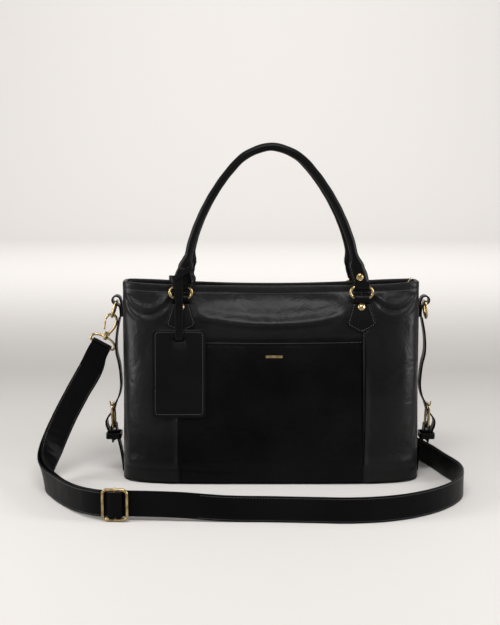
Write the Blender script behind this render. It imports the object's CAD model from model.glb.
"""The looks of a black leather diaper bag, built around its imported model.

Metres, +Z up, the front faces -Y. Every piece is a surface worked out from a formula: a panel over
a grid of width and height, or a cross-section carried along a path.
"""

import logging
import math
from dataclasses import dataclass, field
from enum import Enum
from typing import Callable, Optional, Sequence

import bmesh
import bpy
import numpy as np
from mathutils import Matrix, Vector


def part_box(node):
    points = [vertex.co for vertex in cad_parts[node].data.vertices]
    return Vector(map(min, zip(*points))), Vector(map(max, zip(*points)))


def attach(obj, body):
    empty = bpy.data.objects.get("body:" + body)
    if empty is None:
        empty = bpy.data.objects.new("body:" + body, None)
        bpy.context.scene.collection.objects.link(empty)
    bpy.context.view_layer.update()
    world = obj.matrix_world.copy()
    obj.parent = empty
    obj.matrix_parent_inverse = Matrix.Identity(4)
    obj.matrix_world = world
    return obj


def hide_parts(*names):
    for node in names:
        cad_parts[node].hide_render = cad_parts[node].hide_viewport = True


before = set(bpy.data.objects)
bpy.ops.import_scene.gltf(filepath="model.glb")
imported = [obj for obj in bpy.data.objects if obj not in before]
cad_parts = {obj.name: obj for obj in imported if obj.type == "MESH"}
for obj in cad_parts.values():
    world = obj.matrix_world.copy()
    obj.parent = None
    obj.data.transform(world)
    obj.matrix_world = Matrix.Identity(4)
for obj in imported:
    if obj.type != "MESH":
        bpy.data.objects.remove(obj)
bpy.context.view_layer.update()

log = logging.getLogger("bag")
X = np.array([1.0, 0.0, 0.0])
Y = np.array([0.0, 1.0, 0.0])
Z = np.array([0.0, 0.0, 1.0])
WIRE_SIDES = 20
TURNED_SIDES = 36
EDGE_ROUND = 0.35
STITCH_GROOVE = 0.0003
STITCH_INSET = 0.0024
GROOVE_WIDTH = 0.0006


class Side(Enum):
    """The bag's two ends, with the sign of their X."""

    LEFT = -1
    RIGHT = 1

    @property
    def word(self) -> str:
        """The side's name in the names of pieces."""
        return self.name.lower()


class Face(Enum):
    """The bag's two long faces, with the sign of their Y."""

    FRONT = -1
    REAR = 1

    @property
    def word(self) -> str:
        """The face's name in the names of pieces."""
        return self.name.lower()


# ---------------------------------------------------------------- lines


def unit(vectors: np.ndarray) -> np.ndarray:
    """Scales each vector of the last axis to length one."""
    return vectors / np.linalg.norm(vectors, axis=-1, keepdims=True)


def ease(value: np.ndarray, low: float, high: float) -> np.ndarray:
    """Rises smoothly from 0 at low to 1 at high, as 3t^2 - 2t^3."""
    t = np.clip((value - low) / (high - low), 0, 1)
    return t * t * (3 - 2 * t)


def hump(value: np.ndarray, middle: float, width: float, power: float = 2.0) -> np.ndarray:
    """A bell of height one, exp(-|(value - middle) / width|^power)."""
    return np.exp(-np.abs((value - middle) / width) ** power)


def arc_length(points: np.ndarray) -> np.ndarray:
    """Distance run along a line of points, from its first point."""
    steps = np.linalg.norm(np.diff(points[:, :3], axis=0), axis=1)
    return np.concatenate([[0.0], np.cumsum(steps)])


def resample(points: np.ndarray, count: int) -> np.ndarray:
    """The same line with its points an equal distance apart.

    Args:
        points: rows of coordinates, with any further values after them.
        count: how many points the line gets.

    Returns:
        The rows read off at equal steps of arc length.
    """
    run = arc_length(points)
    at = np.linspace(0.0, run[-1], count)
    return np.stack([np.interp(at, run, points[:, k]) for k in range(points.shape[1])], 1)


def spread(line: np.ndarray, count: int) -> np.ndarray:
    """A plan line sampled by distance plus turning, so that bends get more points.

    Args:
        line: rows of x and y.
        count: how many points the line gets.

    Returns:
        The rows read off at equal steps of (length run / length) + (turn made / turn).
    """
    step = np.diff(line, axis=0)
    heading = np.unwrap(np.arctan2(step[:, 1], step[:, 0]))
    bend = np.concatenate([[0.0, 0.0], np.cumsum(np.abs(np.diff(heading)))])
    run = arc_length(line)
    measure = run / run[-1] + bend / bend[-1]
    at = np.linspace(0.0, measure[-1], count)
    return np.stack([np.interp(at, measure, line[:, k]) for k in range(2)], 1)


def smooth(points: Sequence, count: int, closed: bool = False) -> np.ndarray:
    """A curve through the points: cubic pieces whose slopes are central differences.

    Args:
        points: rows of coordinates, with any further values after them.
        count: how many points the curve gets, an equal distance apart.
        closed: whether the last point runs on into the first.

    Returns:
        The sampled curve, one row for each point.
    """
    points = np.array(points, float)
    if closed:
        points = np.concatenate([points[-3:], points, points[:4]])
    run = arc_length(points)
    slope = np.gradient(points, run, axis=0)
    first, last = (3, len(points) - 4) if closed else (0, len(points) - 1)
    at = np.linspace(run[first], run[last], 24 * len(points))
    k = np.clip(np.searchsorted(run, at, side="right") - 1, 0, len(points) - 2)
    span = (run[k + 1] - run[k])[:, None]
    t = (at - run[k])[:, None] / span
    curve = (
        (2 * t**3 - 3 * t**2 + 1) * points[k] + (t**3 - 2 * t**2 + t) * span * slope[k]
        + (3 * t**2 - 2 * t**3) * points[k + 1] + (t**3 - t**2) * span * slope[k + 1]
    )
    return resample(curve, count + 1)[:-1] if closed else resample(curve, count)


def arc(centre: Sequence[float], radius: float, start: float, stop: float, count: int = 9) -> np.ndarray:
    """Plane points of an arc; the angles are in degrees from the first axis."""
    turn = np.radians(np.linspace(start, stop, count))
    return np.column_stack([centre[0] + radius * np.cos(turn), centre[1] + radius * np.sin(turn)])


def rounded_box(half_a: float, half_b: float, corner: float, count: int = 8) -> np.ndarray:
    """Plane points of a rectangle with round corners, anticlockwise from its right side.

    Args:
        half_a: half its width.
        half_b: half its height.
        corner: radius of its corners.
        count: points on each corner.

    Returns:
        The points of four quarter circles, joined by straight sides.
    """
    corners = ((1, 1, 0), (-1, 1, 90), (-1, -1, 180), (1, -1, 270))
    return np.concatenate([
        arc((a * (half_a - corner), b * (half_b - corner)), corner, start, start + 90, count)
        for a, b, start in corners
    ])


# ---------------------------------------------------------------- meshes


@dataclass
class Patch:
    """A closed surface: its points, its four-sided faces and its caps."""

    points: np.ndarray
    quads: np.ndarray
    caps: list = field(default_factory=list)


def grid_quads(rows: int, cols: int, start: int = 0, around: bool = False, along: bool = False) -> np.ndarray:
    """Faces of a grid of points.

    Args:
        rows: rows of points.
        cols: points in a row.
        start: index of the grid's first point.
        around: whether each row's last point joins its first.
        along: whether the last row joins the first.

    Returns:
        One row of four point indices for each face.
    """
    r, c = np.meshgrid(np.arange(rows if along else rows - 1), np.arange(cols if around else cols - 1),
                       indexing="ij")
    r, c = r.ravel(), c.ravel()
    down, over = (r + 1) % rows, (c + 1) % cols
    return start + np.stack([r * cols + c, r * cols + over, down * cols + over, down * cols + c], 1)


def swept(sections: np.ndarray, closed: bool = False) -> Patch:
    """Joins a run of cross-sections; an open run is capped by its end sections."""
    count, sides = sections.shape[:2]
    quads = grid_quads(count, sides, around=True, along=closed)
    last = (count - 1) * sides
    caps = [] if closed else [list(range(sides))[::-1], list(range(last, last + sides))]
    return Patch(sections.reshape(-1, 3), quads, caps)


def slab(outer: np.ndarray, inner: np.ndarray) -> Patch:
    """A sheet between two grids of one shape, closed along its four edges.

    Args:
        outer: rows and columns of points on its outer face.
        inner: the same on its inner face.

    Returns:
        The closed surface.
    """
    rows, cols = outer.shape[:2]
    index = np.arange(rows * cols).reshape(rows, cols)
    rim = np.concatenate([index[:, 0], index[-1, 1:], index[-2::-1, -1], index[0, -2:0:-1]])
    after = np.roll(rim, -1)
    edge = np.stack([rim, after, after + rows * cols, rim + rows * cols], 1)
    quads = np.concatenate([grid_quads(rows, cols), grid_quads(rows, cols, rows * cols), edge])
    return Patch(np.concatenate([outer.reshape(-1, 3), inner.reshape(-1, 3)]), quads)


def hoop(outer: np.ndarray, inner: np.ndarray) -> Patch:
    """A ring-shaped sheet: two stacks of closed loops, joined at the top and at the bottom."""
    return swept(np.concatenate([outer, inner[::-1]]), closed=True)


def cup(outer: np.ndarray, inner: np.ndarray) -> Patch:
    """An open-topped shell of loops from the bottom up, each bottom closed by one face."""
    return swept(np.concatenate([outer, inner[::-1]]))


def piece(name: str, patches: Sequence[Patch], material: bpy.types.Material, body: str,
          replaces: Sequence[str] = (), sharp: float = 50.0) -> bpy.types.Object:
    """Makes one named piece of closed surfaces and hangs it on a body of the model.

    Args:
        name: the piece's name.
        patches: its closed surfaces.
        material: its finish.
        body: the body that it moves with.
        replaces: the nodes that it stands for.
        sharp: the angle in degrees past which an edge is left sharp.

    Returns:
        The new object, at the origin, with its place in its mesh.
    """
    starts = np.cumsum([0] + [len(p.points) for p in patches])
    points = np.concatenate([p.points for p in patches])
    faces = np.concatenate([p.quads + s for p, s in zip(patches, starts)]).tolist()
    faces += [[s + k for k in cap] for p, s in zip(patches, starts) for cap in p.caps]
    mesh = bpy.data.meshes.new(name)
    mesh.from_pydata(points.tolist(), [], faces)
    shape = bmesh.new()
    shape.from_mesh(mesh)
    bmesh.ops.recalc_face_normals(shape, faces=shape.faces)
    shape.to_mesh(mesh)
    shape.free()
    mesh.shade_smooth()
    mesh.set_sharp_from_angle(angle=math.radians(sharp))
    mesh.materials.append(material)
    made = bpy.data.objects.new(name, mesh)
    bpy.context.scene.collection.objects.link(made)
    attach(made, body)
    if replaces:
        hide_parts(*replaces)
    log.info("%s: %d faces on %s", name, len(mesh.polygons), body)
    return made


def strap_sections(path: np.ndarray, across: np.ndarray, half: np.ndarray, thick: float,
                   groove: float = 0.0, lift: Optional[np.ndarray] = None, count: int = 25) -> np.ndarray:
    """Cross-sections of a strap with round edges, carried along a path.

    The section is a flat oval: a top and a bottom with a stitching groove near each edge, and half
    an ellipse at each edge.

    Args:
        path: the strap's centre-line.
        across: the direction of its width at each point, or one for all.
        half: half its width at each point, or one for all.
        thick: its thickness.
        groove: depth of the stitching groove near each edge.
        lift: further height of the lower face at each point of the path.
        count: points across each face.

    Returns:
        An array of sections, points in a section, and coordinates.
    """
    tangent = unit(np.gradient(path, axis=0))
    across = np.broadcast_to(np.asarray(across, float), path.shape)
    across = unit(across - tangent * (across * tangent).sum(1, keepdims=True))
    normal = np.cross(tangent, across)
    half = np.broadcast_to(np.asarray(half, float), len(path))[:, None]
    u = np.sin(np.linspace(-1, 1, count) * math.pi / 2)
    edge = EDGE_ROUND * thick
    wide = u * (half - edge)
    dip = groove * hump(half - np.abs(wide), STITCH_INSET, GROOVE_WIDTH)
    deep = thick / 2 - dip
    turn = np.radians(np.linspace(90, -90, 7))[1:-1]
    edge_w = half - edge + edge * np.cos(turn)
    edge_d = np.broadcast_to(thick / 2 * np.sin(turn), edge_w.shape)
    under = deep if lift is None else deep + lift[:, None] * (1 - u**4)
    w = np.concatenate([wide, edge_w, wide[:, ::-1], -edge_w[:, ::-1]], 1)
    d = np.concatenate([deep, edge_d, -under[:, ::-1], edge_d[:, ::-1]], 1)
    return path[:, None] + w[..., None] * across[:, None] + d[..., None] * normal[:, None]


def strap(path: np.ndarray, across: np.ndarray, half: np.ndarray, thick: float, **form) -> Patch:
    """A strap along a path, with closed ends; form is what strap_sections takes."""
    return swept(strap_sections(np.asarray(path, float), across, half, thick, **form))


def wire(path: np.ndarray, radius: np.ndarray, closed: bool = True, flat: float = 1.0) -> Patch:
    """Wire along a path that stays in one plane.

    Args:
        path: the centre-line.
        radius: the wire's radius, or one for each point.
        closed: whether the wire is a ring.
        flat: the wire's thickness across the plane over that in it.

    Returns:
        The closed surface.
    """
    path = np.asarray(path, float)
    ahead = (np.roll(path, -1, 0) - np.roll(path, 1, 0)) if closed else np.gradient(path, axis=0)
    plane = np.linalg.svd(path - path.mean(0))[2][2]
    side = unit(np.cross(unit(ahead), plane))
    turn = np.linspace(0, 2 * math.pi, WIRE_SIDES, endpoint=False)
    size = np.broadcast_to(np.asarray(radius, float), len(path))[:, None, None]
    ring = side[:, None] * np.cos(turn)[None, :, None] + flat * plane * np.sin(turn)[None, :, None]
    return swept(path[:, None] + size * ring, closed)


def turned(base: np.ndarray, axis: np.ndarray, profile: Sequence) -> Patch:
    """A turned piece: a profile carried round an axis.

    Args:
        base: the point where distance along the axis is zero.
        axis: the direction of the axis.
        profile: pairs of a radius and a distance along the axis.

    Returns:
        The closed surface.
    """
    axis = unit(np.asarray(axis, float))
    side = unit(np.cross(axis, X if abs(axis[0]) < 0.9 else Z))
    turn = np.linspace(0, 2 * math.pi, TURNED_SIDES, endpoint=False)
    rim = np.cos(turn)[:, None] * side + np.sin(turn)[:, None] * np.cross(axis, side)
    rows = np.array(profile, float)
    return swept(np.asarray(base) + rows[:, :1, None] * rim + rows[:, 1:, None] * axis)


def stitches(line: np.ndarray, normal: np.ndarray, pitch: float = 0.0034, long: float = 0.0023,
             radius: float = 0.00034) -> Patch:
    """A row of thread stitches along a line on a surface.

    Each stitch is a spindle: five rings whose radius goes as the square root of a parabola.

    Args:
        line: points along the seam.
        normal: the surface's outward direction at each point, or one for all.
        pitch: distance from one stitch to the next.
        long: a stitch's length.
        radius: the thread's radius.

    Returns:
        All the stitches as one patch.
    """
    normal = np.broadcast_to(np.asarray(normal, float), line.shape)
    joined = resample(np.hstack([line, normal]), max(int(arc_length(line)[-1] / pitch), 2))
    place, up = joined[:, :3], unit(joined[:, 3:])
    ahead = unit(np.gradient(place, axis=0))
    side = unit(np.cross(ahead, up))
    at = np.array([-1.0, -0.8, 0.0, 0.8, 1.0])
    size = radius * np.sqrt(np.clip(1.04 - at**2, 0, 1))
    turn = np.linspace(0, 2 * math.pi, 6, endpoint=False)
    around = side[:, None] * np.cos(turn)[None, :, None] + up[:, None] * np.sin(turn)[None, :, None]
    rings = (
        place[:, None, None] + ahead[:, None, None] * (at * long / 2)[None, :, None, None]
        + size[None, :, None, None] * around[:, None]
    )
    one = grid_quads(len(at), len(turn), around=True)
    block = len(at) * len(turn)
    starts = np.arange(len(place)) * block
    quads = (one[None] + starts[:, None, None]).reshape(-1, 4)
    ends = [list(range(6))[::-1], list(range(block - 6, block))]
    caps = [[int(s) + k for k in end] for s in starts for end in ends]
    return Patch(rings.reshape(-1, 3), quads, caps)


# ---------------------------------------------------------------- finishes


@dataclass(frozen=True)
class LeatherFinish:
    """A smooth leather: its two tones, its gloss and the size of its grain."""

    name: str
    dark: tuple
    light: tuple
    rough: float
    grain: float = 620.0
    depth: float = 0.16
    shine: float = 0.05
    ripple: float = 0.25

    def make(self) -> bpy.types.Material:
        """Builds the leather: cloudy tone, pores and fine grain in the bump, and patchy gloss.

        Returns:
            The material.
        """
        made = bpy.data.materials.new(self.name)
        made.use_nodes = True
        nodes, links = made.node_tree.nodes, made.node_tree.links
        nodes.clear()
        tone_frame = nodes.new("NodeFrame")
        tone_frame.label = "Cloudy tone"
        grain_frame = nodes.new("NodeFrame")
        grain_frame.label = "Pores and grain"
        gloss_frame = nodes.new("NodeFrame")
        gloss_frame.label = "Rubbed gloss"

        place = nodes.new("ShaderNodeTexCoord")
        place.label = "Place on the bag"
        clouds = nodes.new("ShaderNodeTexNoise")
        clouds.label = "Dye clouds"
        clouds.parent = tone_frame
        tones = nodes.new("ShaderNodeValToRGB")
        tones.label = "Two blacks"
        tones.parent = tone_frame
        cells = nodes.new("ShaderNodeTexVoronoi")
        cells.label = "Grain cells"
        cells.parent = grain_frame
        pores = nodes.new("ShaderNodeTexNoise")
        pores.label = "Pores"
        pores.parent = grain_frame
        ripple = nodes.new("ShaderNodeTexNoise")
        ripple.label = "Soft ripples"
        ripple.parent = grain_frame
        ripple_bump = nodes.new("ShaderNodeBump")
        ripple_bump.label = "Ripple height"
        ripple_bump.parent = grain_frame
        cell_bump = nodes.new("ShaderNodeBump")
        cell_bump.label = "Grain height"
        cell_bump.parent = grain_frame
        pore_bump = nodes.new("ShaderNodeBump")
        pore_bump.label = "Pore height"
        pore_bump.parent = grain_frame
        rubbed = nodes.new("ShaderNodeTexNoise")
        rubbed.label = "Handled patches"
        rubbed.parent = gloss_frame
        gloss = nodes.new("ShaderNodeMapRange")
        gloss.label = "Gloss range"
        gloss.parent = gloss_frame
        shader = nodes.new("ShaderNodeBsdfPrincipled")
        shader.label = "Leather"
        output = nodes.new("ShaderNodeOutputMaterial")
        output.label = "Surface"

        places = (
            (place, -1200, 0), (clouds, -900, 420), (tones, -500, 420), (cells, -900, 0),
            (pores, -900, -300), (ripple, -900, -600), (ripple_bump, -600, -500), (cell_bump, -400, -300),
            (pore_bump, -200, -200), (rubbed, -900, 760), (gloss, -500, 760), (shader, 100, 200),
            (output, 420, 200),
        )
        for node, left, high in places:
            node.location = (left, high)

        clouds.inputs["Scale"].default_value = 9.0
        clouds.inputs["Detail"].default_value = 5.0
        tones.color_ramp.elements[0].position = 0.35
        tones.color_ramp.elements[0].color = (*self.dark, 1.0)
        tones.color_ramp.elements[1].position = 0.70
        tones.color_ramp.elements[1].color = (*self.light, 1.0)
        cells.feature = "DISTANCE_TO_EDGE"
        cells.inputs["Scale"].default_value = self.grain
        pores.inputs["Scale"].default_value = 2.6 * self.grain
        pores.inputs["Detail"].default_value = 3.0
        ripple.inputs["Scale"].default_value = 30.0
        ripple.inputs["Detail"].default_value = 4.0
        ripple.inputs["Distortion"].default_value = 0.6
        ripple_bump.inputs["Strength"].default_value = self.ripple
        ripple_bump.inputs["Distance"].default_value = 0.0035
        cell_bump.inputs["Strength"].default_value = self.depth
        cell_bump.inputs["Distance"].default_value = 0.00035
        pore_bump.inputs["Strength"].default_value = self.depth
        pore_bump.inputs["Distance"].default_value = 0.00015
        rubbed.inputs["Scale"].default_value = 14.0
        rubbed.inputs["Detail"].default_value = 6.0
        gloss.inputs["From Min"].default_value = 0.3
        gloss.inputs["From Max"].default_value = 0.7
        gloss.inputs["To Min"].default_value = self.rough - 0.06
        gloss.inputs["To Max"].default_value = self.rough + 0.08
        shader.inputs["Specular IOR Level"].default_value = self.shine

        links.new(place.outputs["Object"], clouds.inputs["Vector"])
        links.new(place.outputs["Object"], cells.inputs["Vector"])
        links.new(place.outputs["Object"], pores.inputs["Vector"])
        links.new(place.outputs["Object"], ripple.inputs["Vector"])
        links.new(place.outputs["Object"], rubbed.inputs["Vector"])
        links.new(clouds.outputs["Fac"], tones.inputs["Fac"])
        links.new(tones.outputs["Color"], shader.inputs["Base Color"])
        links.new(ripple.outputs["Fac"], ripple_bump.inputs["Height"])
        links.new(ripple_bump.outputs["Normal"], cell_bump.inputs["Normal"])
        links.new(cells.outputs["Distance"], cell_bump.inputs["Height"])
        links.new(cell_bump.outputs["Normal"], pore_bump.inputs["Normal"])
        links.new(pores.outputs["Fac"], pore_bump.inputs["Height"])
        links.new(pore_bump.outputs["Normal"], shader.inputs["Normal"])
        links.new(rubbed.outputs["Fac"], gloss.inputs["Value"])
        links.new(gloss.outputs["Result"], shader.inputs["Roughness"])
        links.new(shader.outputs["BSDF"], output.inputs["Surface"])
        return made


@dataclass(frozen=True)
class WovenFinish:
    """A woven cloth or tape: two yarn colours and how many yarns to the metre."""

    name: str
    warp: tuple
    weft: tuple
    yarns: float
    rough: float = 0.85

    def make(self) -> bpy.types.Material:
        """Builds the cloth: two crossed waves make the weave's colour and height.

        Returns:
            The material.
        """
        made = bpy.data.materials.new(self.name)
        made.use_nodes = True
        nodes, links = made.node_tree.nodes, made.node_tree.links
        nodes.clear()
        weave_frame = nodes.new("NodeFrame")
        weave_frame.label = "Weave"
        place = nodes.new("ShaderNodeTexCoord")
        place.label = "Place on the bag"
        across = nodes.new("ShaderNodeTexWave")
        across.label = "Weft yarns"
        across.parent = weave_frame
        along = nodes.new("ShaderNodeTexWave")
        along.label = "Warp yarns"
        along.parent = weave_frame
        crossed = nodes.new("ShaderNodeMath")
        crossed.label = "Over and under"
        crossed.parent = weave_frame
        yarns = nodes.new("ShaderNodeValToRGB")
        yarns.label = "Yarn colours"
        yarns.parent = weave_frame
        height = nodes.new("ShaderNodeBump")
        height.label = "Yarn height"
        height.parent = weave_frame
        shader = nodes.new("ShaderNodeBsdfPrincipled")
        shader.label = "Cloth"
        output = nodes.new("ShaderNodeOutputMaterial")
        output.label = "Surface"
        places = (
            (place, -1100, 0), (across, -850, 200), (along, -850, -150), (crossed, -600, 0),
            (yarns, -380, 160), (height, -380, -160), (shader, -80, 80), (output, 240, 80),
        )
        for node, left, high in places:
            node.location = (left, high)

        across.bands_direction = "Z"
        along.bands_direction = "X"
        across.inputs["Scale"].default_value = self.yarns
        along.inputs["Scale"].default_value = self.yarns
        across.inputs["Distortion"].default_value = 0.4
        along.inputs["Distortion"].default_value = 0.4
        crossed.operation = "MULTIPLY"
        yarns.color_ramp.elements[0].color = (*self.warp, 1.0)
        yarns.color_ramp.elements[1].color = (*self.weft, 1.0)
        height.inputs["Strength"].default_value = 0.35
        height.inputs["Distance"].default_value = 0.0003
        shader.inputs["Roughness"].default_value = self.rough
        shader.inputs["Sheen Weight"].default_value = 0.15

        links.new(place.outputs["Object"], across.inputs["Vector"])
        links.new(place.outputs["Object"], along.inputs["Vector"])
        links.new(across.outputs["Fac"], crossed.inputs[0])
        links.new(along.outputs["Fac"], crossed.inputs[1])
        links.new(crossed.outputs["Value"], yarns.inputs["Fac"])
        links.new(crossed.outputs["Value"], height.inputs["Height"])
        links.new(yarns.outputs["Color"], shader.inputs["Base Color"])
        links.new(height.outputs["Normal"], shader.inputs["Normal"])
        links.new(shader.outputs["BSDF"], output.inputs["Surface"])
        return made


@dataclass(frozen=True)
class GoldFinish:
    """Light gold plating with a darker tone where it has tarnished, and fine polishing marks."""

    name: str
    bright: tuple
    aged: tuple
    rough: float = 0.22

    def make(self) -> bpy.types.Material:
        """Builds the plating: tarnish in the colour, and handling marks in the gloss and bump.

        Returns:
            The material.
        """
        made = bpy.data.materials.new(self.name)
        made.use_nodes = True
        nodes, links = made.node_tree.nodes, made.node_tree.links
        nodes.clear()
        tone_frame = nodes.new("NodeFrame")
        tone_frame.label = "Tarnish"
        mark_frame = nodes.new("NodeFrame")
        mark_frame.label = "Polishing marks"
        place = nodes.new("ShaderNodeTexCoord")
        place.label = "Place on the bag"
        tarnish = nodes.new("ShaderNodeTexNoise")
        tarnish.label = "Tarnished patches"
        tarnish.parent = tone_frame
        tones = nodes.new("ShaderNodeValToRGB")
        tones.label = "Gold tones"
        tones.parent = tone_frame
        marks = nodes.new("ShaderNodeTexNoise")
        marks.label = "Fine marks"
        marks.parent = mark_frame
        gloss = nodes.new("ShaderNodeMapRange")
        gloss.label = "Gloss range"
        gloss.parent = mark_frame
        height = nodes.new("ShaderNodeBump")
        height.label = "Mark height"
        height.parent = mark_frame
        shader = nodes.new("ShaderNodeBsdfPrincipled")
        shader.label = "Plating"
        output = nodes.new("ShaderNodeOutputMaterial")
        output.label = "Surface"
        places = (
            (place, -1000, 0), (tarnish, -750, 250), (tones, -450, 250), (marks, -750, -100),
            (gloss, -450, 0), (height, -450, -260), (shader, -100, 100), (output, 220, 100),
        )
        for node, left, high in places:
            node.location = (left, high)

        tarnish.inputs["Scale"].default_value = 160.0
        tarnish.inputs["Detail"].default_value = 4.0
        tones.color_ramp.elements[0].position = 0.35
        tones.color_ramp.elements[0].color = (*self.aged, 1.0)
        tones.color_ramp.elements[1].position = 0.62
        tones.color_ramp.elements[1].color = (*self.bright, 1.0)
        marks.inputs["Scale"].default_value = 1500.0
        marks.inputs["Detail"].default_value = 2.0
        gloss.inputs["To Min"].default_value = self.rough - 0.05
        gloss.inputs["To Max"].default_value = self.rough + 0.12
        height.inputs["Strength"].default_value = 0.05
        height.inputs["Distance"].default_value = 0.0001
        shader.inputs["Metallic"].default_value = 1.0

        links.new(place.outputs["Object"], tarnish.inputs["Vector"])
        links.new(place.outputs["Object"], marks.inputs["Vector"])
        links.new(tarnish.outputs["Fac"], tones.inputs["Fac"])
        links.new(tones.outputs["Color"], shader.inputs["Base Color"])
        links.new(marks.outputs["Fac"], gloss.inputs["Value"])
        links.new(gloss.outputs["Result"], shader.inputs["Roughness"])
        links.new(marks.outputs["Fac"], height.inputs["Height"])
        links.new(height.outputs["Normal"], shader.inputs["Normal"])
        links.new(shader.outputs["BSDF"], output.inputs["Surface"])
        return made


@dataclass(frozen=True)
class PaperFinish:
    """The studio's pale paper sweep."""

    name: str = "pale_paper"
    colour: tuple = (0.50, 0.485, 0.470)

    def make(self) -> bpy.types.Material:
        """Builds the paper: matt, with a faint tooth.

        Returns:
            The material.
        """
        made = bpy.data.materials.new(self.name)
        made.use_nodes = True
        nodes, links = made.node_tree.nodes, made.node_tree.links
        nodes.clear()
        place = nodes.new("ShaderNodeTexCoord")
        place.label = "Place in the studio"
        tooth = nodes.new("ShaderNodeTexNoise")
        tooth.label = "Paper tooth"
        height = nodes.new("ShaderNodeBump")
        height.label = "Tooth height"
        shader = nodes.new("ShaderNodeBsdfPrincipled")
        shader.label = "Paper"
        output = nodes.new("ShaderNodeOutputMaterial")
        output.label = "Surface"
        for step, node in enumerate((place, tooth, height, shader, output)):
            node.location = (260 * step - 800, 0)
        tooth.inputs["Scale"].default_value = 400.0
        height.inputs["Strength"].default_value = 0.03
        height.inputs["Distance"].default_value = 0.0003
        shader.inputs["Base Color"].default_value = (*self.colour, 1.0)
        shader.inputs["Roughness"].default_value = 0.9
        shader.inputs["Specular IOR Level"].default_value = 0.1
        links.new(place.outputs["Object"], tooth.inputs["Vector"])
        links.new(tooth.outputs["Fac"], height.inputs["Height"])
        links.new(height.outputs["Normal"], shader.inputs["Normal"])
        links.new(shader.outputs["BSDF"], output.inputs["Surface"])
        return made


@dataclass
class Finishes:
    """Every finish of the bag, made once."""

    panel: bpy.types.Material = None
    pocket: bpy.types.Material = None
    trim: bpy.types.Material = None
    strap: bpy.types.Material = None
    thread: bpy.types.Material = None
    lining: bpy.types.Material = None
    tape: bpy.types.Material = None
    board: bpy.types.Material = None
    gold: bpy.types.Material = None

    def __post_init__(self) -> None:
        """Makes the materials."""
        self.panel = LeatherFinish("panel_leather", (0.0024, 0.0024, 0.0026), (0.0072, 0.0070, 0.0072), 0.34,
                                   shine=0.115, ripple=0.60).make()
        self.pocket = LeatherFinish("pocket_leather", (0.0012, 0.0012, 0.0014), (0.0038, 0.0037, 0.0039),
                                    0.32, shine=0.05, ripple=0.80).make()
        self.trim = LeatherFinish("trim_leather", (0.0015, 0.0015, 0.0017), (0.0034, 0.0033, 0.0034), 0.30,
                                  shine=0.09).make()
        self.strap = LeatherFinish("strap_leather", (0.0014, 0.0014, 0.0016), (0.0034, 0.0033, 0.0034), 0.32,
                                   grain=820.0, shine=0.045).make()
        self.thread = WovenFinish("black_thread", (0.030, 0.030, 0.032), (0.062, 0.060, 0.060), 900.0,
                                  0.6).make()
        self.lining = WovenFinish("lining_cotton", (0.24, 0.20, 0.15), (0.36, 0.31, 0.24), 330.0).make()
        self.tape = WovenFinish("zip_tape_cloth", (0.010, 0.010, 0.010), (0.030, 0.030, 0.030), 500.0).make()
        self.board = LeatherFinish("base_board_fibre", (0.06, 0.06, 0.06), (0.10, 0.10, 0.10), 0.7).make()
        self.gold = GoldFinish("light_gold", (0.46, 0.35, 0.18), (0.24, 0.17, 0.075)).make()


# ---------------------------------------------------------------- the shell's form


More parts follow.
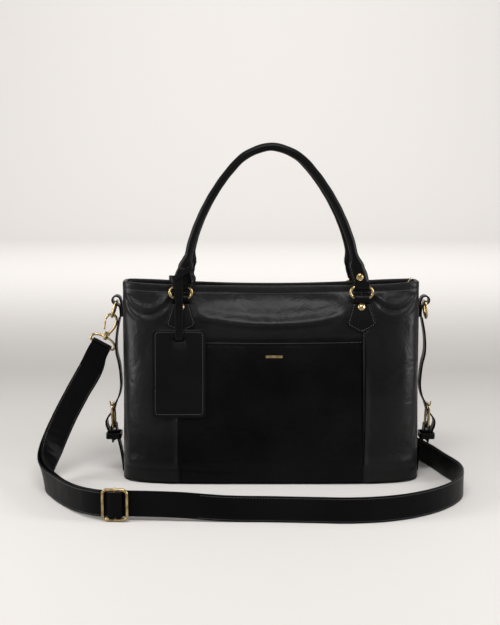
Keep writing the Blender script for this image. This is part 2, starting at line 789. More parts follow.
@dataclass(frozen=True)
class BagForm:
    """The shell's surface as a function of width and height, the same as the model's.

    Its half-depth narrows from base to mouth as a power of the height, and its plan is a
    superellipse: depth times (1 - |x / half width|^4.5)^(1 / 4.5).
    """

    high: float = 0.280
    rim_dip: float = 0.006
    wide: float = 0.2095
    base_flare: float = 0.0015
    base_depth: float = 0.070
    top_depth: float = 0.020
    end_depth: float = 0.033
    power: float = 4.5
    seam_x: float = 0.128
    leather: float = 0.0020
    pocket_top: float = 0.2055
    pocket_back: float = 0.0415
    foot: float = 0.0034
    tab_x: float = 0.1255

    def rim_height(self, x: np.ndarray) -> np.ndarray:
        """Height of the mouth's rim above the floor, lower in the middle."""
        return self.high - self.rim_dip * (1 - np.minimum(np.abs(x) / 0.2, 1) ** 2)

    def half_width(self, h: np.ndarray) -> np.ndarray:
        """Half the shell's width at a nominal height."""
        return self.wide + self.base_flare * np.clip((0.12 - h) / 0.12, 0, 1) ** 2

    def depth(self, x: np.ndarray, h: np.ndarray) -> np.ndarray:
        """Half-depth at a nominal height, before the ends are rounded."""
        top = self.top_depth + (self.end_depth - self.top_depth) * np.minimum(np.abs(x) / 0.160, 1) ** 2
        rise = np.clip((h - 0.03) / 0.246, 0, 1) ** 2.6
        return top + (self.base_depth - top) * (1 - rise) - 0.004 * np.clip((0.03 - h) / 0.03, 0, 1) ** 2

    def surface(self, x: np.ndarray, h: np.ndarray) -> np.ndarray:
        """Distance of the shell's surface from the middle plane."""
        share = np.clip(1 - (np.abs(x) / self.half_width(h)) ** self.power, 0, 1)
        return self.depth(x, h) * share ** (1 / self.power)

    def pocket_inset(self, x: np.ndarray, h: np.ndarray) -> np.ndarray:
        """How far the front panel stands behind the surface, to leave the slip pocket room."""
        step = 0.0023 * (1 - ease(h, self.pocket_top + 0.0005, self.pocket_top + 0.008))
        room = np.clip(self.surface(x, h) - step - self.pocket_back, 0, 0.010)
        room = room * (1 - np.minimum(np.abs(x) / self.seam_x, 1) ** 4) * ease(h, 0.004, 0.03)
        return (step + room) * (1 - ease(np.abs(x), self.seam_x + 0.001, self.seam_x + 0.009))

    def height(self, x: np.ndarray, h: np.ndarray) -> np.ndarray:
        """True height of a nominal one: scaled to the rim above it."""
        return h * self.rim_height(x) / self.high

    def half_outline(self, h: float, pocketed: bool) -> np.ndarray:
        """Plan of the shell's right half, from the front's middle round the end to the rear's.

        Args:
            h: nominal height.
            pocketed: whether the front stands back behind the slip pocket.

        Returns:
            Rows of x and y, anticlockwise seen from above.
        """
        wide = self.half_width(h)
        x = np.linspace(0, 0.85 * wide, 160)
        rear = self.surface(x, h)
        front = rear - self.pocket_inset(x, h) if pocketed else rear
        reach = self.depth(wide, h)
        y_end = np.linspace(-rear[-1], rear[-1], 160)[1:-1]
        x_end = wide * (1 - (np.abs(y_end) / reach) ** self.power) ** (1 / self.power)
        return np.concatenate([
            np.column_stack([x, -front]), np.column_stack([x_end, y_end]), np.column_stack([x, rear])[::-1],
        ])

    @staticmethod
    def outward(line: np.ndarray) -> np.ndarray:
        """Outward direction in plan at each point of an anticlockwise line."""
        tangent = unit(np.gradient(line, axis=0))
        return np.column_stack([tangent[:, 1], -tangent[:, 0]])

    def loop(self, h: float, inset: float, half_count: int = 70) -> np.ndarray:
        """A closed loop round the shell at a nominal height, inset from its surface.

        Args:
            h: nominal height.
            inset: distance inside the surface.
            half_count: points on the right half.

        Returns:
            Rows of x, y and z.
        """
        right = spread(self.half_outline(h, True), half_count)
        right = right - inset * self.outward(right)
        right[[0, -1], 0] = 0.0
        left = right[1:-1][::-1] * np.array([-1, 1])
        plan = np.concatenate([right, left])
        return np.column_stack([plan, self.height(plan[:, 0], h)])

    def relief(self, x: np.ndarray, z: np.ndarray, face: float) -> np.ndarray:
        """How far soft leather swells out of the plain form, in metres; creases are negative.

        It is a sum of long, slow waves, a roll below the rim between the tabs, a smile-shaped
        crease under each rim corner, drag lines that run down from each tab, and a crease where
        the panel turns under at the base. It fades to nothing under the tabs.

        Args:
            x: distances along the bag.
            z: heights.
            face: sign of the face, so that the two sides differ.

        Returns:
            The swell at each point.
        """
        side = np.sign(x)
        a = np.abs(x)
        waves = 0.0016 * np.sin(19 * x + 1.4 * face) * np.sin(23 * z + 0.7 + 3 * x)
        waves = waves + 0.0004 * np.sin(61 * x - 37 * z + face) * np.sin(13 * z)
        crest = 0.236 - 0.012 * (1 - np.minimum(a / 0.1, 1) ** 2)
        roll = 0.0040 * hump(z, crest, 0.0075) * (1 - ease(a, 0.085, 0.112))
        roll = roll - 0.0011 * hump(z, 0.255, 0.007) * (1 - ease(a, 0.07, 0.11))
        low = 0.2365 + 0.006 * (side > 0)
        smile = low + 0.020 * np.minimum(np.abs(a - 0.172) / 0.032, 1.3) ** 2
        window = ease(a, 0.136, 0.150) * (1 - ease(a, 0.203, 0.2085))
        crease = (-0.0018 * hump(z, smile, 0.0020) + 0.0030 * hump(z, smile + 0.0080, 0.0055)
                  + 0.0022 * hump(z, smile - 0.008, 0.0060)) * window
        drag = 0.0011 * np.sin((a - 0.10) * 210) * hump(a, 0.128, 0.030)
        drag = drag * hump(z, 0.205, 0.030) * ease(0.215 - z, 0, 0.02)
        base = -0.0012 * hump(z, 0.0215 + 0.002 * np.sin(30 * x), 0.0024) + 0.0012 * hump(z, 0.032, 0.007)
        swell = waves + roll + crease + drag + base
        clear = 1 - hump(a, self.tab_x, 0.0215, 6) * hump(z, 0.244, 0.0335, 6)
        edge = ease(z, 0.0, 0.012) * (1 - ease(z, 0.262, 0.268))
        return np.maximum(swell * clear * edge, -0.0015)


@dataclass
class Shell:
    """The bag's body: leather panels, slip pocket, base, rim, lining and zip."""

    form: BagForm
    finishes: Finishes
    rows: int = 150
    columns: int = 190

    def panel_grid(self, reach: Callable, low: float, high: float, face: float, count: int) -> tuple:
        """Outer and inner grids of a front or rear panel.

        Args:
            reach: distance from the middle plane as a function of x and nominal height.
            low: nominal height of the foot.
            high: nominal height of the top.
            face: sign of Y.
            count: rows of the grid.

        Returns:
            The outer grid, swollen by the relief, and the plain inner one.
        """
        form = self.form
        x, h = np.meshgrid(np.sin(np.linspace(-1, 1, self.columns) * math.pi / 2) * (form.seam_x - 0.0003),
                           np.linspace(low, high, count))
        z = form.height(x, h)
        side_in = 0.0013 * hump(form.seam_x - np.abs(x), 0.0, 0.0021)
        plain = reach(x, h)
        out = plain + form.relief(x, z, face) - side_in
        return (np.stack([x, face * out, z], -1), np.stack([x, face * (plain - form.leather), z], -1))

    def build_panels(self) -> None:
        """Makes the front and rear panels and the slip pocket."""
        form, dress = self.form, self.finishes
        front = self.panel_grid(lambda x, h: form.surface(x, h) - form.pocket_inset(x, h), form.foot, 0.2795,
                                Face.FRONT.value, self.rows)
        piece("front_panel_leather", [slab(*front)], dress.panel, "root", ["front_panel"])
        rear = self.panel_grid(form.surface, form.foot, 0.2795, Face.REAR.value, self.rows)
        piece("back_panel_leather", [slab(*rear)], dress.panel, "root", ["back_panel"])

        def pocket(x: np.ndarray, h: np.ndarray) -> np.ndarray:
            """The pocket lies on the surface, with a turned and stitched band along its top."""
            band = 0.0007 * ease(h, form.pocket_top - 0.0052, form.pocket_top - 0.0044)
            line = 0.0005 * hump(h, form.pocket_top - 0.0062, 0.0007)
            return form.surface(x, h) + band - line

        grids = self.panel_grid(pocket, form.foot, form.pocket_top, Face.FRONT.value, self.rows)
        piece("front_pocket_leather", [slab(*grids)], dress.pocket, "root", ["front_pocket"])

    def build_ends(self) -> None:
        """Makes the two side panels, each wrapped round one end of the bag."""
        form = self.form
        for side in Side:
            outer, inner = [], []
            for h in np.linspace(form.foot, 0.2795, self.rows):
                outline = form.half_outline(h, False)
                line = spread(outline[outline[:, 0] >= form.seam_x + 0.0002], 150)
                away = form.outward(line)
                z = form.height(line[:, 0], h)
                swell = form.relief(side.value * line[:, 0], z, np.sign(line[:, 1]))
                end = ease(line[:, 0], 0.196, 0.2075)
                pinch = -0.0013 * hump(z, 0.072 - 1.9 * np.abs(np.abs(line[:, 1]) - 0.045), 0.006) * end
                fold = 0.0010 * np.cos(line[:, 1] * 95) * end
                fold = fold * ease(z, 0.07, 0.16) * (1 - ease(z, 0.215, 0.235))
                ridge = 0.0019 * hump(line[:, 0] - form.seam_x, 0.0048, 0.0021)
                groove = 0.0013 * hump(line[:, 0] - form.seam_x, 0.0, 0.0020)
                swell = swell * (1 - end) + pinch + fold - groove + ridge * (z < 0.2148)
                outer.append(np.column_stack([line + swell[:, None] * away, z]))
                inner.append(np.column_stack([line - form.leather * away, z]))
            flip = np.array([side.value, 1, 1])
            piece(f"{side.word}_side_panel_leather", [slab(np.stack(outer) * flip, np.stack(inner) * flip)],
                  self.finishes.panel, "root", [f"{side.word}_side_panel"])

    def build_rim(self) -> None:
        """Makes the binding along the rim, the facing inside it and their stitching."""
        form, dress = self.form, self.finishes
        heights = np.array([0.2716, 0.2718, 0.2722, 0.2760, 0.2795, 0.2803, 0.2806])
        outside = np.array([0.0002, -0.0001, -0.0003, -0.0003, -0.0001, 0.0006, 0.0018])
        outer = np.stack([form.loop(h, i, 110) for h, i in zip(heights, outside)])
        inner = np.stack([form.loop(h, 0.0050 - i, 110) for h, i in zip(heights, outside)])
        piece("rim_binding", [hoop(outer, inner)], dress.panel, "root")
        line = form.loop(0.2700, -0.0001, 200)
        away = np.column_stack([form.outward(line[:, :2]), np.zeros(len(line))])
        piece("rim_stitching", [stitches(line, away)], dress.thread, "root")
        facing = np.linspace(0.242, 0.2800, 12)
        ripple = [0.0003 * math.sin(9 * k) for k in range(12)]
        outer = np.stack([form.loop(h, 0.0038) for h in facing])
        inner = np.stack([form.loop(h, 0.0048 + r) for h, r in zip(facing, ripple)])
        piece("mouth_facing_leather", [hoop(outer, inner)], dress.trim, "root", ["mouth_facing"])

    def build_seams(self) -> None:
        """Makes the piped seams beside the pocket, and the stitches along the pocket's top."""
        form, dress = self.form, self.finishes
        for face in Face:
            patches = []
            for side in Side:
                h = np.linspace(0.006, 0.2190, 90)
                x = form.seam_x + 0.0002
                y = form.surface(x, h) - 0.0001
                path = np.column_stack([np.full(90, side.value * x), face.value * y, form.height(x, h)])
                patches.append(wire(path, 0.0012, closed=False))
            piece(f"{face.word}_seam_piping", patches, dress.trim, "root")
        x = np.linspace(-0.124, 0.124, 90)
        h = np.full(90, form.pocket_top - 0.0030)
        y = form.surface(x, h) + 0.0007 + form.relief(x, form.height(x, h), Face.FRONT.value)
        line = np.column_stack([x, -y - 0.0001, form.height(x, h)])
        piece("pocket_stitching", [stitches(line, -Y)], dress.thread, "root")

    def build_base(self) -> None:
        """Makes the base, a plate of leather whose rim is rounded."""
        form = self.form
        plan = form.loop(0.0, 0.0, 120)[:, :2]
        away = form.outward(plan)
        rows = [(0.0024, 0.0), (0.0008, 0.0004), (0.0, 0.0014), (0.0004, 0.0026), (0.0014, 0.0030)]
        sections = np.stack([np.column_stack([plan - i * away, np.full(len(plan), z)]) for i, z in rows])
        piece("base_panel_leather", [swept(sections)], self.finishes.trim, "root", ["base_panel"])

    def build_lining(self) -> None:
        """Makes the cotton lining and the pocket sewn on its rear wall."""
        form, dress = self.form, self.finishes
        h = np.concatenate([[form.foot], np.linspace(0.006, 0.258, 60)])
        outer = np.stack([form.loop(v, 0.0026) for v in h])
        inner = []
        for v in h:
            row = form.loop(v, 0.0034)
            puff = 0.0005 * np.sin(row[:, 0] * 90 + 40 * v) * np.sin(70 * v)
            row[:, 1] -= np.sign(row[:, 1]) * np.abs(puff) * ease(v, 0.01, 0.04)
            inner.append(row)
        inner = np.stack(inner)
        floor = form.foot / form.high * (form.high - form.rim_dip) + 0.0001
        outer[0, :, 2] = floor
        inner[0, :, 2] = floor + 0.0008
        piece("cotton_lining", [cup(outer, inner)], dress.lining, "root", ["lining"])

        wide, low, high = 0.085, 0.075, 0.185
        x, h = np.meshgrid(np.linspace(-wide, wide, 90), np.linspace(low, high, 60))
        room = 0.0085 * (1 - (np.abs(x) / wide) ** 6) * ease(h, low, low + 0.02)
        y = form.surface(x, h) - 0.0056 - room
        hem = 0.0006 * ease(h, high - 0.010, high - 0.009) - 0.0006 * hump(h, high - 0.0105, 0.0008)
        ripple = 0.0005 * np.sin(80 * x) * ease(h, 0.10, 0.18)
        z = form.height(x, h)
        grids = (np.stack([x, y, z], -1), np.stack([x, y - 0.0010 - hem - np.abs(ripple), z], -1))
        piece("lining_pocket", [slab(*grids)], dress.lining, "root", ["inner_pocket"])

    def build_zip(self) -> None:
        """Makes the two tapes, their teeth, the slider and its pull."""
        form, dress = self.form, self.finishes
        x = np.linspace(-0.165, 0.186, 160)
        lip = form.surface(np.minimum(x, 0.14), 0.2745) - 0.0058
        meet = ease(x, 0.125, 0.178)
        y = lip * (1 - meet) + 0.0032 * meet
        z = 0.265 * form.rim_height(x) / form.high
        for face in Face:
            path = np.column_stack([x, face.value * y, z])
            piece(f"zip_tape_{face.word}_cloth", [strap(path, Z, 0.005, 0.0008, count=9)], dress.tape, "root",
                  [f"zipper_tape_{face.word}"])
            line = resample(path, 150) + 0.0050 * Z
            ahead = unit(np.gradient(line, axis=0))
            side = unit(np.cross(ahead, Z))
            long, half = 0.00075, 0.0007
            signs = np.array([(-1, -1), (1, -1), (1, 1), (-1, 1)])
            ring = side[:, None] * (signs[:, 0] * half)[None, :, None]
            ring = ring + Z * (signs[:, 1] * half)[None, :, None]
            step, tooth = long * ahead[:, None], line[:, None] + ring
            ends = np.stack([tooth - step, tooth + step], 1)
            starts = 8 * np.arange(len(line))
            quads = (grid_quads(2, 4, around=True)[None] + starts[:, None, None]).reshape(-1, 4)
            caps = [[int(k) + c for c in cap] for k in starts for cap in ((3, 2, 1, 0), (4, 5, 6, 7))]
            piece(f"zip_teeth_{face.word}", [Patch(ends.reshape(-1, 3), quads, caps)], dress.gold, "root")
        low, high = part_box("zipper_slider")
        middle = np.array(low + high) / 2
        plan = rounded_box((high.x - low.x) / 2, (high.y - low.y) / 2, 0.0018)
        plan[:, 1] *= 1 - 0.28 * ease(plan[:, 0], -0.002, 0.0055)
        rows = [(0.90, -1.0), (1.0, -0.7), (1.0, -0.25), (0.72, -0.2)]
        rows = rows + [(s, -t) for s, t in rows[::-1]]
        level = np.ones(len(plan))
        body = np.stack([middle + np.column_stack([plan * s, 0.0016 * t * level]) for s, t in rows])
        piece("zip_slider_body", [swept(body)], dress.gold, "zipper_slider", ["zipper_slider"])
        start, reach = np.array([0.1945, 0.0, 0.2766]), np.array([0.0055, 0.0, 0.0075])
        t = np.linspace(0, 1, 24)
        half = 0.0015 + 0.0017 * ease(t, 0.1, 0.4) - 0.0010 * ease(t, 0.75, 1.0)
        piece("zip_pull_tab", [strap(start + t[:, None] * reach, Y, half, 0.0012, count=11)], dress.gold,
              "zipper_pull", ["zipper_pull"])

    def build_plate(self) -> None:
        """Makes the plain gold bar on the pocket."""
        low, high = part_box("front_plate")
        x, z = (low.x + high.x) / 2, (low.z + high.z) / 2
        form = self.form
        up = unit(np.array([0, 0.26, 1.0]))
        forward = np.cross(X, up)
        centre = np.array([x, -form.surface(x, z * form.high / form.rim_height(x)), z]) + 0.0012 * forward
        plan = rounded_box(0.0120, 0.0018, 0.0006)
        rows = [(1.0, -0.0009), (1.0, 0.0002), (0.985, 0.0005)]
        body = np.stack([centre + s * (plan[:, :1] * X + plan[:, 1:] * up) + d * forward for s, d in rows])
        piece("plain_gold_bar", [swept(body)], self.finishes.gold, "root", ["front_plate"])

    def build(self) -> None:
        """Makes every piece of the body."""
        self.build_panels()
        self.build_ends()
        self.build_rim()
        self.build_seams()
        self.build_base()
        self.build_lining()
        self.build_zip()
        self.build_plate()
        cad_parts["base_board"].data.materials.clear()
        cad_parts["base_board"].data.materials.append(self.finishes.board)


# ---------------------------------------------------------------- handles


@dataclass
class Handles:
    """Two rolled handles with their rings, tabs and rivets."""

    form: BagForm
    finishes: Finishes
    ring_y: float = 0.0415
    lower_bar: float = 0.2602
    upper_bar: float = 0.2758
    ring_wire: float = 0.0019
    eye_radius: float = 0.0036
    eye_wall: float = 0.0009
    eye_half: float = 0.0104
    tube: float = 0.0055
    apex_y: float = 0.034
    curve: tuple = (
        (0.0, 0.4683), (0.0200, 0.4640), (0.0360, 0.4562), (0.0597, 0.4326), (0.0728, 0.4150),
        (0.0828, 0.3993), (0.0925, 0.3815), (0.1030, 0.3580), (0.1105, 0.3361), (0.1149, 0.3171),
        (0.1185, 0.3021), (0.1222, 0.2900), (0.1245, 0.2814),
    )

    def eye(self, z: float, start: float, stop: float, count: int = 25) -> np.ndarray:
        """Centre-line of a leather eye round a bar, as rows of y and z."""
        return arc((self.ring_y, z), self.eye_radius, start, stop, count)

    def rivet(self, place: np.ndarray, axis: np.ndarray, lift: float) -> Patch:
        """A domed rivet cap with a raised rim, standing on a face."""
        dome = [(0.0010, -0.0002), (0.0046, -0.0002), (0.0050, 0.0003), (0.0049, 0.0008), (0.0043, 0.0011),
                (0.0039, 0.0009), (0.0034, 0.0012), (0.0024, 0.0017), (0.0012, 0.0020), (0.0002, 0.0021)]
        return turned(place, axis, [(radius, lift + rise) for radius, rise in dome])

    def build_tab(self, side: Side, face: Face) -> None:
        """Makes one pointed tab with its stitched edge and its rivet.

        Args:
            side: the end that it is nearer to.
            face: the long face that it lies on.
        """
        form = self.form
        shape = [(0.2520, 0.0122), (0.2460, 0.0138), (0.2380, 0.0162), (0.2300, 0.0188), (0.2250, 0.0200),
                 (0.2235, 0.0188), (0.2215, 0.0150), (0.2180, 0.0085), (0.2152, 0.0030), (0.2145, 0.0012)]
        table = np.array(shape)
        z = np.concatenate([np.linspace(0.2520, 0.2250, 26), np.linspace(0.2247, 0.2145, 24)])
        half = np.interp(-z, -table[:, 0], table[:, 1])
        nominal = z * form.high / form.rim_height(form.tab_x)
        edges = np.stack([form.tab_x - half, np.full(len(z), form.tab_x), form.tab_x + half])
        clear = form.surface(edges, nominal).max(0)
        down = np.column_stack([clear + 0.0003 + self.eye_wall + 0.0002, z])
        over = self.eye(self.lower_bar, 180, 0)
        first = np.array([[self.ring_y - self.eye_radius + 0.0002, 0.2560]])
        line = np.concatenate([first, over, down])
        width = np.concatenate([np.full(len(over) + 1, self.eye_half), half])
        x = side.value * form.tab_x
        path = np.column_stack([np.full(len(line), x), face.value * line[:, 0], line[:, 1]])
        name = f"{face.word}_{side.word}_tab"
        piece(f"{name}_leather", [strap(path, X, width, 2 * self.eye_wall, groove=STITCH_GROOVE, count=31)],
              self.finishes.trim, "root", [name])
        rim_z = z[2:]
        ahead = down[2:, 0] + self.eye_wall + 0.0001
        inner = np.maximum(half[2:] - STITCH_INSET, 0.0002)
        run = [np.column_stack([x + s * inner, face.value * ahead, rim_z]) for s in (-1, 1)]
        seam = np.concatenate([run[0][:-3], run[1][:-3][::-1]])
        piece(f"{name}_stitching", [stitches(seam, face.value * Y)], self.finishes.thread, "root")
        front = np.interp(-0.2475, -z, down[:, 0]) + self.eye_wall
        place = np.array([x, face.value * front, 0.2475])
        slope = unit(np.array([0, face.value, 0.32]))
        piece(f"{name}_rivet_cap", [self.rivet(place, slope, 0.0004)], self.finishes.gold, "root",
              [f"{name}_rivet"])

    def build_rings(self, face: Face) -> None:
        """Makes the two oval rings that join one handle to its tabs."""
        for side in Side:
            radius = (self.upper_bar - self.lower_bar) / 2
            middle = (self.upper_bar + self.lower_bar) / 2
            right = arc((0.00755, 0.0), radius, -90, 90, 20)
            oval = np.concatenate([right, -right])
            path = np.column_stack([side.value * self.form.tab_x + oval[:, 0],
                                    np.full(len(oval), face.value * self.ring_y), middle + oval[:, 1]])
            name = f"{face.word}_{side.word}_oval_ring"
            piece(f"{name}_wire", [wire(path, self.ring_wire)], self.finishes.gold, f"{face.word}_rings",
                  [name])

    def handle_line(self, face: Face) -> np.ndarray:
        """Centre-line of a handle from its left end to its right end."""
        half = np.array(self.curve)
        whole = smooth(np.concatenate([(half[1:] * np.array([-1, 1]))[::-1], half]), 219)
        right = whole[109:]
        lean = self.apex_y + (self.ring_y - self.apex_y) * ease(-right[:, 1], -0.4683, -0.2814)
        right = np.column_stack([right[:, 0], face.value * lean, right[:, 1]])
        return np.concatenate([(right * np.array([-1, 1, 1]))[::-1], right[1:]])

    def build_handle(self, face: Face) -> None:
        """Makes one rolled handle: a tube with a raised seam that flattens at its ends.

        Args:
            face: the long face that it stands over.
        """
        body = f"{face.word}_handle"
        path = self.handle_line(face)
        tangent = unit(np.gradient(path, axis=0))
        side_way = unit(np.cross(tangent, Y))
        flat = 1 - ease(path[:, 2], 0.300, 0.322)
        run = arc_length(path)
        wide = self.tube + (0.0115 - self.tube) * flat
        wide = wide - 0.0009 * hump(path[:, 2], 0.2995, 0.0035) + 0.00012 * np.sin(run * 260)
        deep = self.tube + (0.0040 - self.tube) * flat
        turn = np.linspace(0, 2 * math.pi, 48, endpoint=False)
        square = 1 - 0.10 * flat[:, None] * np.sin(2 * turn)[None] ** 2
        seam = 1 + 0.055 * hump(np.abs(turn - math.pi), 0.0, 0.16)[None] * (1 - flat[:, None])
        ring = side_way[:, None] * (wide[:, None] * np.cos(turn) * square * seam)[..., None]
        ring = ring + Y * (deep[:, None] * np.sin(turn) / square)[..., None]
        patches = [swept(path[:, None] + ring)]
        for side in Side:
            bend = np.concatenate([[[self.ring_y + 0.0031, 0.2835]], self.eye(self.upper_bar, 0, -180),
                                   [[self.ring_y - 0.0031, 0.2835]]])
            eye_x = np.full(len(bend), side.value * self.form.tab_x)
            eye_path = np.column_stack([eye_x, face.value * bend[:, 0], bend[:, 1]])
            patches.append(strap(eye_path, X, self.eye_half, 2 * self.eye_wall, count=21))
        piece(f"{face.word}_handle_leather", patches, self.finishes.trim, body, [body])
        top = path[:, 2] > 0.318
        seam_line = (path - side_way * (self.tube * 1.02))[top]
        piece(f"{face.word}_handle_stitching", [stitches(seam_line, -side_way[top], radius=0.0003)],
              self.finishes.thread, body)
        for side in Side:
            place = np.array([side.value * 0.1222, face.value * (self.ring_y - 0.0002), 0.2900])
            caps = [self.rivet(place, s * Y, 0.0044) for s in (-1, 1)]
            name = f"{face.word}_handle_{side.word}_rivet"
            piece(f"{name}_caps", caps, self.finishes.gold, body, [name])
            for s in (-1, 1):
                edge = np.linspace(0.2850, 0.3080, 12)
                x = np.interp(edge, path[path[:, 0] > 0][::-1, 2], path[path[:, 0] > 0][::-1, 0])
                deep_at = np.full(12, face.value * (self.ring_y + 0.0030))
                line = np.column_stack([side.value * x + s * 0.0088, deep_at, edge])
                piece(f"{face.word}_{side.word}_{'outer' if s * side.value > 0 else 'inner'}_end_stitching",
                      [stitches(line, face.value * Y)], self.finishes.thread, body)

    def build(self) -> None:
        """Makes both handles and all that holds them."""
        for face in Face:
            for side in Side:
                self.build_tab(side, face)
            self.build_rings(face)
            self.build_handle(face)


# ---------------------------------------------------------------- luggage tag


@dataclass
class LuggageTag:
    """The tag, the strap that it hangs on and the knot round the handle's end."""

    finishes: Finishes
    x: float = -0.1275
    top: tuple = (-0.0560, 0.2185)
    foot: tuple = (-0.0705, 0.0975)
    half: float = 0.0370
    thick: float = 0.0030
    pivot: tuple = (-0.0530, 0.2890)
    slot_z: float = 0.2045

    def build_tag(self) -> None:
        """Makes the tag: two stitched leather layers with a slot near its top."""
        top, foot = np.array([0, *self.top]), np.array([0, *self.foot])
        up = unit(top - foot)
        long = np.linalg.norm(top - foot)
        middle = (top + foot) / 2 + self.x * X
        normal = np.cross(X, up)
        slot_up = (self.slot_z - middle[2]) / up[2]
        edge = rounded_box(self.half, long / 2, 0.006, 14)
        hole = rounded_box(0.0064, 0.0030, 0.0012, 14) + np.array([0, slot_up])

        def ring(share: float, inset: float, lift: float, bow: float) -> np.ndarray:
            """A loop a share of the way from the slot to the edge."""
            outer = edge - inset * unit(edge)
            flat = hole * (1 - share) + outer * share
            bend = bow * (1 - (flat[:, 0] / self.half) ** 2) * (1 - (flat[:, 1] / (long / 2)) ** 2)
            return middle + flat[:, :1] * X + flat[:, 1:] * up + (lift + bend)[:, None] * normal

        half = self.thick / 2
        shares = [0.0, 0.01, 0.25, 0.50, 0.72, 0.86, 0.895, 0.91, 0.925, 0.96, 1.0, 1.0]
        heights = [half - 0.0006, half, half, half, half, half, half - 0.0004, half - 0.0004, half, half,
                   half - 0.0002, half - 0.0009]
        insets = [0.0] * 10 + [0.0002, 0.0]
        front = [ring(s, i, h, 0.0008) for s, i, h in zip(shares, insets, heights)]
        rear = [ring(s, i, -h, 0.0008) for s, i, h in zip(shares, insets, heights)][::-1]
        piece("tag_leather", [swept(np.stack(front + rear), closed=True)], self.finishes.trim, "luggage_tag",
              ["luggage_tag"], sharp=65)
        line = rounded_box(self.half - 0.0042, long / 2 - 0.0042, 0.004, 14)
        line = np.concatenate([line, line[:1]])
        for word, sign in (("front", 1), ("rear", -1)):
            face = middle + line[:, :1] * X + line[:, 1:] * up + sign * half * normal
            piece(f"tag_{word}_stitching", [stitches(face, sign * normal, 0.0036, 0.0025)],
                  self.finishes.thread, "luggage_tag")

    def build_strap(self) -> None:
        """Makes the narrow strap that drops from the handle and loops through the tag."""
        bend = arc((-0.0576, 0.2060), 0.0030, 180, 360, 9)
        line = smooth([(self.pivot[0], self.pivot[1] + 0.0006), (-0.0531, 0.2620), (-0.0552, 0.2400),
                       (-0.0584, 0.2260), (-0.0602, 0.2150)], 70)
        end = np.array([(-0.0541, 0.2070), (-0.0540, 0.2080)])
        line = smooth(np.concatenate([line[::6], line[-1:], bend, end]), 130)
        path = np.column_stack([np.full(len(line), self.x), line])
        run = arc_length(path)
        half = 0.0055 + 0.0002 * np.sin(run * 150)
        piece("tag_strap_leather", [strap(path, X, half, 0.0014, groove=0.00015, count=19)],
              self.finishes.trim, "tag_strap", ["tag_strap"])

    def build_knot(self) -> None:
        """Makes the knot: two turns of strap round the handle's end, one band across the other."""
        patches = []
        turn = np.linspace(0, 2 * math.pi, 72, endpoint=False)
        for lift, lean, grow in ((0.2885, 0.20, 0.0), (0.2845, -0.16, 0.0012)):
            a, b = 0.0160 + grow, 0.0086 + grow / 2
            centre = np.column_stack([-0.1235 + a * np.cos(turn), -0.0415 + b * np.sin(turn),
                                      lift + lean * a * np.cos(turn)])
            out = np.column_stack([np.cos(turn) / a, np.sin(turn) / b, np.zeros(72)])
            out = unit(out)
            half, thick = 0.0046, 0.0009
            section = rounded_box(half, thick, 0.0006, 5)
            rings = centre[:, None] + section[None, :, :1] * Z + section[None, :, 1:] * out[:, None]
            patches.append(swept(rings, closed=True))
        t = np.linspace(0, 1, 40)
        drape = np.column_stack([-0.1215 - 0.0055 * t, -0.0524 - 0.0018 * np.sin(math.pi * t),
                                 0.3035 - 0.0135 * t])
        patches.append(strap(drape, X, 0.0056 - 0.0010 * ease(t, 0.7, 1.0), 0.0016, count=15))
        sash = np.column_stack([-0.1105 - 0.0250 * t, -0.0540 - 0.0022 * np.sin(math.pi * t),
                                0.3035 - 0.0155 * t])
        patches.append(strap(sash, np.array([-0.54, 0.0, 0.84]), 0.0036, 0.0016, count=13))
        lobe_turn = np.linspace(0, math.pi, 30)
        lobe = np.column_stack([-0.1130 + 0.0075 * np.sin(lobe_turn), -0.0520 - 0.0020 * np.sin(lobe_turn),
                                0.2880 + 0.0075 * np.cos(lobe_turn)])
        patches.append(strap(lobe, unit(np.array([0.3, 0.9, 0.1])), 0.0036, 0.0015, count=13))
        piece("tag_knot_leather", patches, self.finishes.trim, "front_handle", ["tag_knot"])

    def build(self) -> None:
        """Makes the tag, its strap and its knot."""
        self.build_tag()
        self.build_strap()
        self.build_knot()


# ---------------------------------------------------------------- side hardware


